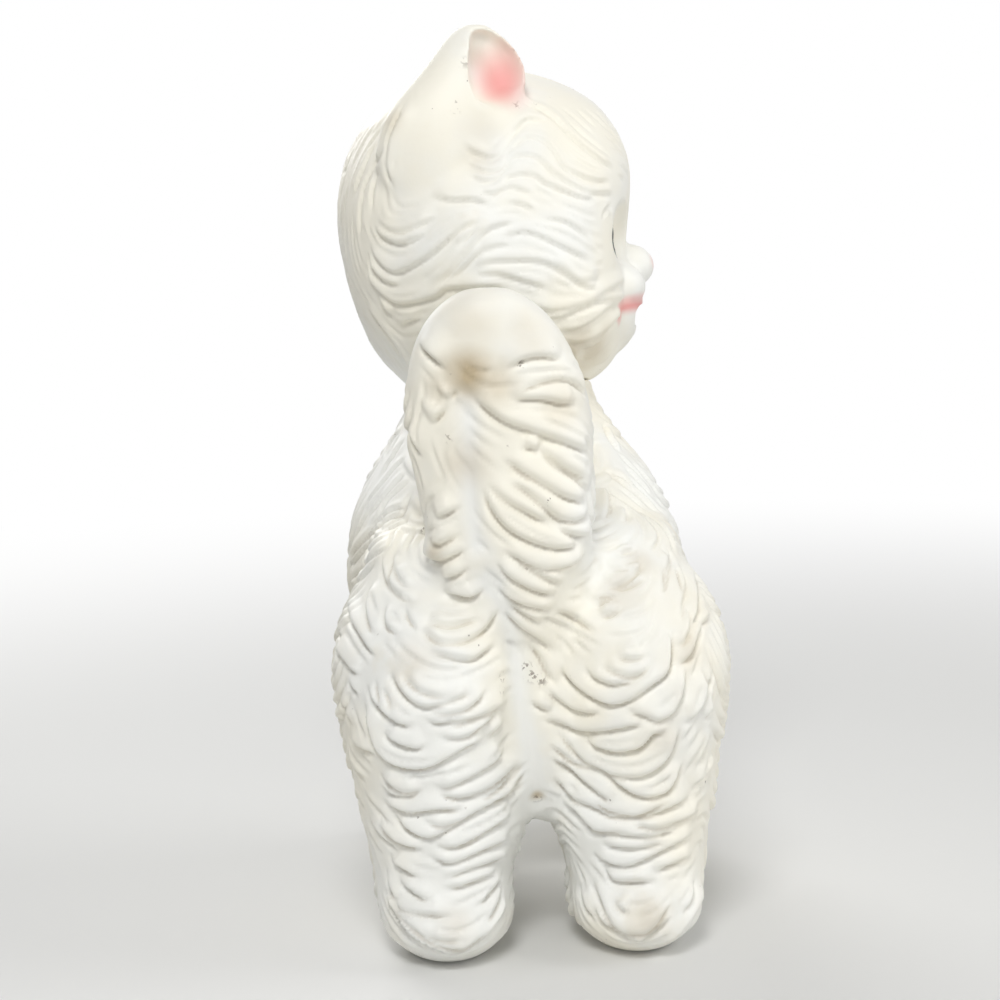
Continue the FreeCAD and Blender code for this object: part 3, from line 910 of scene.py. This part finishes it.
def comb_strand(start, normal, comb, cells, tree, usual, length, gap, allowed):
    """Follows the comb both ways from a start until the strand is long enough or meets another."""
    halves = []
    for sign in (1, -1):
        place, facing = start, normal
        last = None
        half = []
        for step in range(int(length / 2 / SURFACE_STEP)):
            way = comb.way(place, facing, usual)
            if last is None:
                way = way * sign
            elif way.dot(last) < 0:
                way = way * -1
            last = way
            place, facing = tree.find_nearest(place + way * SURFACE_STEP)[:2]
            if cells.crowded(place, gap * CROWDING) or not allowed(place, facing):
                break
            half.append(place)
        halves.append(half)
    return [tuple(p) for p in halves[1][::-1] + [start] + halves[0]]


def comb_fur(skin, tree, creases, allowed, usual, gap, lengths, height, chance):
    """Fills the gaps between the creases with strands."""
    comb = Comb(creases, COMB_REACH)
    cells = Cells(gap)
    for crease in creases:
        for place in crease["run"]:
            cells.add(place)
    points = skin_points(skin)
    normals = skin_normals(skin)
    strands = []
    for index in chance.permutation(len(points))[:COMB_TRIES]:
        length = chance.uniform(*lengths)
        place = Vector(points[index])
        normal = Vector(normals[index])
        if not allowed(place, normal) or cells.crowded(place, gap):
            continue
        run = comb_strand(place, normal, comb, cells, tree, usual, length, gap, allowed)
        if len(run) < FEWEST_STEPS:
            continue
        for spot in run:
            cells.add(spot)
        run = np.array(run)
        middle = len(run) // 2
        way = Vector(run[middle] - run[middle - 1])
        if normal.cross(way).z < 0:
            run = run[::-1]
        size = height * chance.uniform(0.7, 1.25)
        strand = {"run": run, "height": size, "width": gap * 1.25, "valley": size * 0.5}
        strands.append(strand | {"lean": 0.45})
    return strands


def body_combed(place, normal):
    """No strand runs over the soles, the collar, the tail's dome or the furrow between the haunches."""
    above_neck = (place - NECK).dot(AXIS)
    from_axis = ((place - NECK) - AXIS * above_neck).length
    if place.z < 3 * MM or (above_neck > -4 * MM and from_axis < 25 * MM):
        return False
    if place.z > TAIL_DOME:
        return False
    furrow = abs(place.x - FURROW_X) < 2 * MM and place.y > 25 * MM and place.z < 70 * MM
    return not furrow


def head_combed(place, normal):
    """No strand runs over the rim, the muzzle, the eyes or the ears."""
    reach, side, height = (c / MM for c in in_head([tuple(place)])[0])
    side = abs(side)
    if height < 3 or height > 63:
        return False
    face = reach > 21 and side < 24 and height < 46
    ear = height > 50 and side > 18 and -14 < reach < 14
    ear_back = height > 40 and side > 8 and -24 < reach < -3
    return not (face or ear or ear_back)


TAIL_DOME = 133 * MM
FURROW_X = 2 * MM
body_strands = comb_fur(
    body_skin, body_tree, body_creases, body_combed, usual=(1, 0.2, 0), gap=2.4 * MM,
    lengths=(16 * MM, 42 * MM), height=0.85 * MM, chance=chance,
)
print("strands combed into the body", len(body_strands))
head_strands = comb_fur(
    head_skin, head_tree, head_creases, head_combed, usual=(1, 0, 0.3), gap=2.0 * MM,
    lengths=(12 * MM, 30 * MM), height=0.55 * MM, chance=chance,
)
print("strands combed into the head", len(head_strands))

# %% [markdown]
# The relief is worked out vertex by vertex. For each crease the nearest point on its line is found, with
# the side that the vertex lies on. Swellings meet by the larger one, so that locks overlap as shingles
# do, and valleys meet by the deeper one.

# %% Pressing the creases into a skin
def nearest_on_run(points, run):
    """Gives for each point its nearest place on the line, its share along it and the direction there."""
    starts = run[:-1]
    along = run[1:] - starts
    squares = np.maximum((along ** 2).sum(1), 1e-12)
    offset = points[:, None, :] - starts[None]
    share = np.clip((offset * along[None]).sum(2) / squares, 0, 1)
    gap = offset - share[..., None] * along[None]
    distance = (gap ** 2).sum(2)
    segment = distance.argmin(1)
    rows = np.arange(len(points))
    lengths = np.sqrt(squares)
    travelled = np.concatenate([[0], np.cumsum(lengths)])
    place = travelled[segment] + share[rows, segment] * lengths[segment]
    way = along[segment] / lengths[segment][:, None]
    return gap[rows, segment], place / travelled[-1], way


TIP = 4.5 * MM
LIP = 0.55 * MM
VALLEY_BREADTH = 0.6 * MM
VALLEY_SHIFT = 0.25 * MM
STRAND_SHARE = 0.8
SUNK_SHARE = 0.9


def press(points, normals, creases):
    """Gives the swelling and the valley depth at each point."""
    swell = np.zeros(len(points))
    valley = np.zeros(len(points))
    for crease in creases:
        run = crease["run"]
        width = crease["width"]
        low = run.min(0) - width
        high = run.max(0) + width
        near = np.nonzero(((points > low) & (points < high)).all(1))[0]
        if len(near) == 0:
            continue
        gap, share, way = nearest_on_run(points[near], run)
        distance = np.linalg.norm(gap, axis=1)
        close = distance < width
        near, gap, share, way, distance = near[close], gap[close], share[close], way[close], distance[close]
        left = np.cross(normals[near], way)
        side = (gap * left).sum(1)
        side = np.sign(side) * distance
        length = np.linalg.norm(np.diff(run, axis=0), axis=1).sum()
        tip = np.clip(TIP / length, crease.get("tip", 0.1), 0.4)
        ends = smooth_step(share / tip) * smooth_step((1 - share) / tip)
        lean = crease["lean"]
        weight = np.where(side > 0, 0.5 + lean / 2, 0.5 - lean / 2)
        edge = 1 - np.exp(-distance / LIP)
        slope = 1 - smooth_step(distance / width)
        own_swell = crease["height"] * ends * weight * edge * slope
        trough = np.exp(-((side + VALLEY_SHIFT * lean) / crease.get("breadth", VALLEY_BREADTH)) ** 2)
        own_valley = crease["valley"] * ends * trough
        np.maximum.at(swell, near, own_swell)
        np.maximum.at(valley, near, own_valley)
    return swell, valley


def add_value(skin, name, values):
    layer = skin.data.attributes.new(name, "FLOAT", "POINT")
    layer.data.foreach_set("value", np.asarray(values, np.float32))


def body_plain(points):
    """Fades the relief out on the soles and near the collar."""
    local = in_head(points)
    from_axis = np.hypot(local[:, 0], local[:, 1])
    collar = 1 - rise(local[:, 2], -3 * MM, 2 * MM) * (from_axis < 23 * MM)
    well = 1 - (local[:, 2] > -13 * MM) * (from_axis < 20.5 * MM)
    return rise(points[:, 2], 0.6 * MM, 3 * MM) * collar * well


def head_plain(points):
    """Fades the relief out at the neck's rim."""
    return rise(in_head(points)[:, 2], MM, 4 * MM)


def press_skin(skin, creases, strands, plain, furrows=()):
    points = skin_points(skin)
    normals = skin_normals(skin)
    swell, valley = press(points, normals, creases)
    fine_swell, fine_valley = press(points, normals, strands)
    swell = swell + STRAND_SHARE * fine_swell
    valley = np.maximum(valley, fine_valley)
    trough = press(points, normals, furrows)[1]
    keep = plain(points)
    swell *= keep
    valley *= keep
    middle = swell[keep > 0.5].mean() * SUNK_SHARE
    shift = swell - valley - middle * keep - trough * keep
    place_skin(skin, points + normals * shift[:, None])
    skin.data.polygons.foreach_set("use_smooth", np.ones(len(skin.data.polygons), bool))
    add_value(skin, "valley", valley / LIP)
    add_value(skin, "cool", trough / MM)
    print(skin.name, "relief from", round(shift.min() / MM, 2), "to", round(shift.max() / MM, 2), "mm")


body_smooth = skin_points(body_skin)
head_smooth = skin_points(head_skin)
press_skin(body_skin, body_creases, body_strands, body_plain, furrows)
press_skin(head_skin, head_creases, head_strands, head_plain)

# %% [markdown]
# Shader maths is easier to read as sums. This class wraps a socket so that plus and times add the
# Math nodes, and one method adds any other node.

# %% A small class for shader maths
class Wire:
    """A shader value that takes part in sums."""

    def __init__(self, finish, socket):
        self.finish = finish
        self.socket = socket

    def maths(self, operation, first, second):
        return self.finish.node("ShaderNodeMath", {"operation": operation}, {0: first, 1: second})

    def __add__(self, other):
        return self.maths("ADD", self, other)

    __radd__ = __add__

    def __mul__(self, other):
        return self.maths("MULTIPLY", self, other)

    __rmul__ = __mul__

    def clamp(self):
        return self.finish.node("ShaderNodeClamp", {}, {"Value": self})


class Finish:
    """A material with one Principled shader, built by hand."""

    def __init__(self, name, **constants):
        self.material = bpy.data.materials.new(name)
        self.material.use_nodes = True
        self.tree = self.material.node_tree
        self.shader = self.tree.nodes["Principled BSDF"]
        for socket, value in constants.items():
            self.shader.inputs[socket.replace("_", " ")].default_value = value

    def node(self, kind, settings=None, values=None, output=0):
        """Adds a node, sets its settings first, then its sockets, and gives one output."""
        node = self.tree.nodes.new(kind)
        for key, value in (settings or {}).items():
            setattr(node, key, value)
        for key, value in (values or {}).items():
            if isinstance(value, Wire):
                self.tree.links.new(value.socket, node.inputs[key])
            else:
                node.inputs[key].default_value = value
        return Wire(self, node.outputs[output])

    def value(self, name):
        return self.node("ShaderNodeAttribute", {"attribute_name": name}, output=2)

    def noise(self, scale, detail=3, roughness=0.5):
        place = self.node("ShaderNodeTexCoord", output=3)
        values = {"Vector": place, "Scale": scale, "Detail": detail, "Roughness": roughness}
        return self.node("ShaderNodeTexNoise", {}, values)

    def between(self, value, low, high):
        """Gives 0 below low, 1 above high and a smooth run between them."""
        settings = {"interpolation_type": "SMOOTHSTEP"}
        values = {"Value": value, "From Min": low, "From Max": high}
        return self.node("ShaderNodeMapRange", settings, values)

    def mix(self, first, second, amount):
        values = {0: amount, 6: first, 7: second}
        return self.node("ShaderNodeMix", {"data_type": "RGBA"}, values, output=2)

    def into(self, socket, wire):
        self.tree.links.new(wire.socket, self.shader.inputs[socket])


def rgb(red, green, blue):
    """Turns a colour as a screen shows it into the shader's linear colour."""
    linear = []
    for part in (red, green, blue):
        part = part / 255
        linear.append(part / 12.92 if part <= 0.04045 else ((part + 0.055) / 1.055) ** 2.4)
    return (*linear, 1)


# %% [markdown]
# The rubber was left in its own cream white. Years of handling have left yellow stains here and there
# and a few dark specks. The warm grey in the valleys is partly dirt and partly painted shade: the valley
# layer of the relief says where it goes, and noise breaks it up. Listed spots add dirt, and painted
# shadow in the hollow under the tail's dome.

# %% The rubber's finish
CREAM = rgb(246, 242, 228)
COOL_WHITE = rgb(243, 243, 238)
YELLOWED = rgb(230, 219, 193)
# dark brown-grey for the listed spots: dirt, and painted shadow under the tail's dome
SOIL_AND_SHADOW_COLOUR = rgb(190, 173, 142)
# warm grey for the valleys: painted shade in the creases, partly dirt
VALLEY_DIRT_AND_SHADE = rgb(186, 174, 152)
SPECK = rgb(84, 56, 34)
PINK = rgb(232, 130, 126)
INK = rgb(24, 22, 22)


def rubber(name):
    finish = Finish(name, Roughness=0.5)
    patches = finish.between(finish.noise(22, 4), 0.42, 0.62)
    base = finish.mix(CREAM, COOL_WHITE, (patches + 0.8 * finish.value("cool")).clamp())
    stains = finish.between(finish.noise(48, 5, 0.6), 0.56, 0.78)
    base = finish.mix(base, YELLOWED, stains * 0.32)
    valley = finish.value("valley")
    # painted shade in the creases, partly dirt: the valleys darken towards a warm grey, broken up by noise
    dirt_and_shade_breakup = finish.between(finish.noise(130, 3), 0.3, 0.75)
    settled_dirt_and_shade = finish.between(valley, 0.6, 1.7) * (0.15 + 0.4 * dirt_and_shade_breakup)
    base = finish.mix(base, VALLEY_DIRT_AND_SHADE, settled_dirt_and_shade.clamp())
    # listed spots of dirt, and painted shadow in the hollow under the tail's dome
    soil_and_shadow = finish.value("soil_and_shadow") * (0.6 + 0.8 * finish.noise(160, 4))
    base = finish.mix(base, SOIL_AND_SHADOW_COLOUR, soil_and_shadow.clamp())
    specks = finish.between(finish.noise(620, 2), 0.73, 0.76)
    specks = specks * finish.between(finish.noise(60, 2), 0.55, 0.65)
    chips = finish.value("speck") * finish.between(finish.noise(950, 2), 0.54, 0.6)
    base = finish.mix(base, SPECK, (specks * 0.6 + chips * 0.85).clamp())
    base = finish.mix(base, PINK, finish.value("pink").clamp())
    base = finish.mix(base, INK, finish.between(finish.value("ink"), 0.42, 0.58))
    finish.into("Base Color", base)
    finish.into("Roughness", 0.42 + 0.16 * finish.noise(90, 4))
    grain = finish.noise(900, 3) * 0.35 + finish.noise(170, 4) * 0.5
    bump = finish.node("ShaderNodeBump", {}, {"Strength": 0.3, "Distance": 0.0003, "Height": grain})
    finish.into("Normal", bump)
    return finish.material


body_finish = rubber("body_rubber_paint")
head_finish = rubber("head_rubber_paint")

# %% [markdown]
# The factory paint is airbrushed: pink in each ear's hollow and on the mouth and nose, and black for
# the eyes. Each is a soft mask on the skin, worked out from places in the head's frame.

# %% Dirt, painted shadow and chips, each a pixel, a radius in millimetres and a strength
BODY_SOIL_AND_SHADOW = [
    ((470, 318), 11, 0.22),
    ((530, 330), 9, 0.25),
    # the next two are painted shadow in the hollow under the tail's dome
    ((467, 374), 9, 0.95),
    ((492, 384), 8, 0.5),
    ((440, 388), 6, 0.35),
    ((464, 462), 8, 0.4),
    ((437, 552), 4, 0.45),
    ((560, 408), 7, 0.25),
    ((640, 560), 6, 0.3),
    ((622, 592), 8, 0.3),
    ((417, 660), 8, 0.25),
    ((538, 800), 2.5, 0.8),
    ((650, 917), 7, 0.35),
    ((455, 925), 6, 0.25),
    ((665, 735), 6, 0.25),
    ((690, 650), 6, 0.3),
]
BODY_CHIPS = [
    ((504, 677), 1.5, 1),
    ((502, 691), 1.2, 0.8),
    ((527, 668), 1.8, 1),
    ((533, 676), 2.2, 0.9),
    ((542, 681), 1.6, 0.9),
    ((575, 681), 1.4, 0.8),
    ((521, 364), 1.3, 1),
    ((424, 529), 2, 0.9),
    ((447, 438), 1.5, 0.6),
    ((538, 803), 1.8, 0.8),
]
HEAD_SOIL = [
    ((590, 356), 10, 0.5),
    ((576, 344), 8, 0.5),
    ((604, 332), 5, 0.3),
    ((474, 55), 5, 0.4),
    ((480, 132), 8, 0.18),
    ((478, 158), 7, 0.2),
    ((392, 120), 5, 0.3),
]
HEAD_CHIPS = [
    ((466, 62), 2, 0.6),
    ((455, 112), 1.3, 0.7),
    ((516, 104), 1.6, 0.6),
]


def spots(points, tree, listed):
    """Gives a mask with a soft spot wherever a listed pixel meets the skin."""
    mask = np.zeros(len(points))
    for (x, y), radius, strength in listed:
        place = tree.ray_cast(EYE, ray(x, y))[0]
        if place is None:
            print("no skin at", x, y)
            continue
        distance = np.linalg.norm(points - np.array(place), axis=1)
        mask = np.maximum(mask, strength * (1 - smooth_step(distance / (radius * MM))))
    return mask


# %% Paint masks on the head, in millimetres of the head's frame: centre, size, edge and strength
PINK_BLOBS = [
    ((1, 26.5, 68), (9, 9, 12), 0.95, 0.8),
    ((27.5, 14, 14.2), (3, 2.4, 3), 0.9, 0.5),
    ((40, 0, 28.5), (5, 5, 3.4), 0.7, 0.4),
]
EYE_INK = ((27, 16.6, 32.3), (9, 6.4, 6.8), 0.6)
GLINT = ((30, 15.3, 34.3), (6, 1.7, 1.7), 0.6)
LIP_HEIGHT = 18.4
LIP_DIP = 2.3
LIP_END = 14


def paint_head(skin):
    local = in_head(skin_points(skin)) / MM
    local[:, 1] = abs(local[:, 1])
    corner = rise(local[:, 1], 11, 4)
    dip = LIP_DIP * np.exp(-((local[:, 1] / 3.2) ** 2))
    lips = LIP_HEIGHT - 0.008 * local[:, 1] ** 2 - 0.6 * corner - dip
    along = 1 - rise(local[:, 1], LIP_END, 3.5)
    across = 1 - smooth_step((abs(local[:, 2] - lips) - 0.9 + 0.6 * corner) / 2.3)
    parting = np.exp(-(((local[:, 2] - lips + 0.6) / 0.9) ** 2))
    pink = along * rise(local[:, 0], 24, 3) * across * (0.5 + 0.3 * parting)
    for centre, size, edge, strength in PINK_BLOBS:
        pink = np.maximum(pink, soft_blob(local, centre, size, edge) * strength)
    add_value(skin, "pink", pink)
    add_value(skin, "ink", soft_blob(local, *EYE_INK) * (1 - soft_blob(local, *GLINT)))
    add_value(skin, "soil_and_shadow", spots(head_smooth, head_tree, HEAD_SOIL))
    add_value(skin, "speck", spots(head_smooth, head_tree, HEAD_CHIPS))


def paint_body(skin):
    count = len(skin.data.vertices)
    add_value(skin, "pink", np.zeros(count))
    add_value(skin, "ink", np.zeros(count))
    add_value(skin, "soil_and_shadow", spots(body_smooth, body_tree, BODY_SOIL_AND_SHADOW))
    add_value(skin, "speck", spots(body_smooth, body_tree, BODY_CHIPS))


paint_head(head_skin)
paint_body(body_skin)

# %% Dressing the two shells
for skin, node, body, finish in (
    (body_skin, "body_shell", "body", body_finish),
    (head_skin, "head_shell", "head", head_finish),
):
    skin.data.materials.append(finish)
    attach(skin, body)
    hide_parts(node)
    print(skin.name, "rides on", body)

# %% [markdown]
# The whistle is seen only from below. Its case is dulled metal, its reed bed is plain plastic and its
# reed is brass.

# %% The whistle's finishes
def metal(name, colour, roughness):
    finish = Finish(name, Metallic=1.0)
    stain = finish.between(finish.noise(300, 4), 0.45, 0.7)
    dark = tuple(c * 0.7 for c in colour[:3]) + (1,)
    finish.into("Base Color", finish.mix(colour, dark, stain * 0.6))
    finish.into("Roughness", roughness + 0.2 * stain)
    return finish.material


def plastic(name, colour):
    finish = Finish(name, Roughness=0.5)
    dust = finish.between(finish.noise(200, 3), 0.5, 0.8)
    dark = tuple(c * 0.8 for c in colour[:3]) + (1,)
    finish.into("Base Color", finish.mix(colour, dark, dust * 0.5))
    return finish.material


WHISTLE_FINISHES = {
    "whistle_case": metal("whistle_metal", rgb(190, 188, 182), 0.38),
    "whistle_reed_bed": plastic("reed_bed_plastic", rgb(205, 198, 182)),
    "whistle_reed": metal("reed_brass", rgb(190, 150, 84), 0.32),
}
for node, finish in WHISTLE_FINISHES.items():
    piece = frame["nodes"][node]
    piece.data.materials.clear()
    piece.data.materials.append(finish)
print("whistle finishes", len(WHISTLE_FINISHES))

# %% [markdown]
# The stage is a pale floor, a world that is white for the camera's own rays, and four soft lamps: a key
# lamp high behind the figure, a low one for its legs, and one each for the side and the front. They stay
# at a plain level, so that the pale rubber keeps its shading.

# %% The floor
FLOOR_REACH = 4
FADE = (0.2, 0.7)


def add_floor():
    far = FLOOR_REACH
    corners = [(-far, -far, 0), (far, -far, 0), (far, far, 0), (-far, far, 0)]
    floor = new_piece("floor", corners, [(0, 1, 2, 3)])
    finish = Finish("floor_paint", Roughness=0.75, Base_Color=rgb(226, 226, 224))
    place = finish.node("ShaderNodeNewGeometry", output=0)
    reach = finish.node("ShaderNodeVectorMath", {"operation": "LENGTH"}, {0: place}, output=1)
    camera_ray = finish.node("ShaderNodeLightPath", output=0)
    white = finish.between(reach, *FADE) * camera_ray
    glow = finish.node("ShaderNodeEmission", {}, {"Color": (1, 1, 1, 1), "Strength": 1})
    paint = Wire(finish, finish.shader.outputs[0])
    blend = finish.node("ShaderNodeMixShader", {}, {0: white, 1: paint, 2: glow})
    finish.tree.links.new(blend.socket, finish.tree.nodes["Material Output"].inputs["Surface"])
    floor.data.materials.append(finish.material)


add_floor()

# %% The lamps and the world
WORLD_LIGHT = 0.27
LAMPS = {
    "key": ((0.12, 0.58, 0.74), (0, 0, 0.09), 0.32, 3.5),
    "low": ((-0.15, 0.72, 0.14), (0, 0, 0.03), 0.4, 0.7),
    "side": ((-0.8, 0.1, 0.5), (0, 0, 0.1), 0.6, 2.4),
    "front": ((0.3, -0.8, 0.6), (0, 0, 0.1), 0.6, 4),
}


def add_lamp(name, place, aim_at, size, power):
    data = bpy.data.lights.new(name, "AREA")
    data.shape = "DISK"
    data.size = size
    data.energy = power
    lamp = bpy.data.objects.new(name, data)
    lamp.location = place
    lamp.rotation_euler = (Vector(aim_at) - Vector(place)).to_track_quat("-Z", "Y").to_euler()
    bpy.context.collection.objects.link(lamp)


def add_world():
    world = bpy.data.worlds.new("studio")
    world.use_nodes = True
    tree = world.node_tree
    tree.nodes.clear()
    skies = []
    for strength in (WORLD_LIGHT, 1):
        sky = tree.nodes.new("ShaderNodeBackground")
        sky.inputs["Color"].default_value = (1, 1, 1, 1)
        sky.inputs["Strength"].default_value = strength
        skies.append(sky.outputs[0])
    path = tree.nodes.new("ShaderNodeLightPath")
    seen = path.outputs["Is Camera Ray"]
    for kind in ("Is Glossy Ray", "Is Transmission Ray"):
        either = tree.nodes.new("ShaderNodeMath")
        either.operation = "MAXIMUM"
        tree.links.new(seen, either.inputs[0])
        tree.links.new(path.outputs[kind], either.inputs[1])
        seen = either.outputs[0]
    mix = tree.nodes.new("ShaderNodeMixShader")
    for socket, wire in enumerate((seen, *skies)):
        tree.links.new(wire, mix.inputs[socket])
    output = tree.nodes.new("ShaderNodeOutputWorld")
    tree.links.new(mix.outputs[0], output.inputs["Surface"])
    bpy.context.scene.world = world


for name, lamp in LAMPS.items():
    add_lamp(name, *lamp)
add_world()
bpy.context.scene.view_settings.view_transform = "Standard"
print("lamps", len(LAMPS))
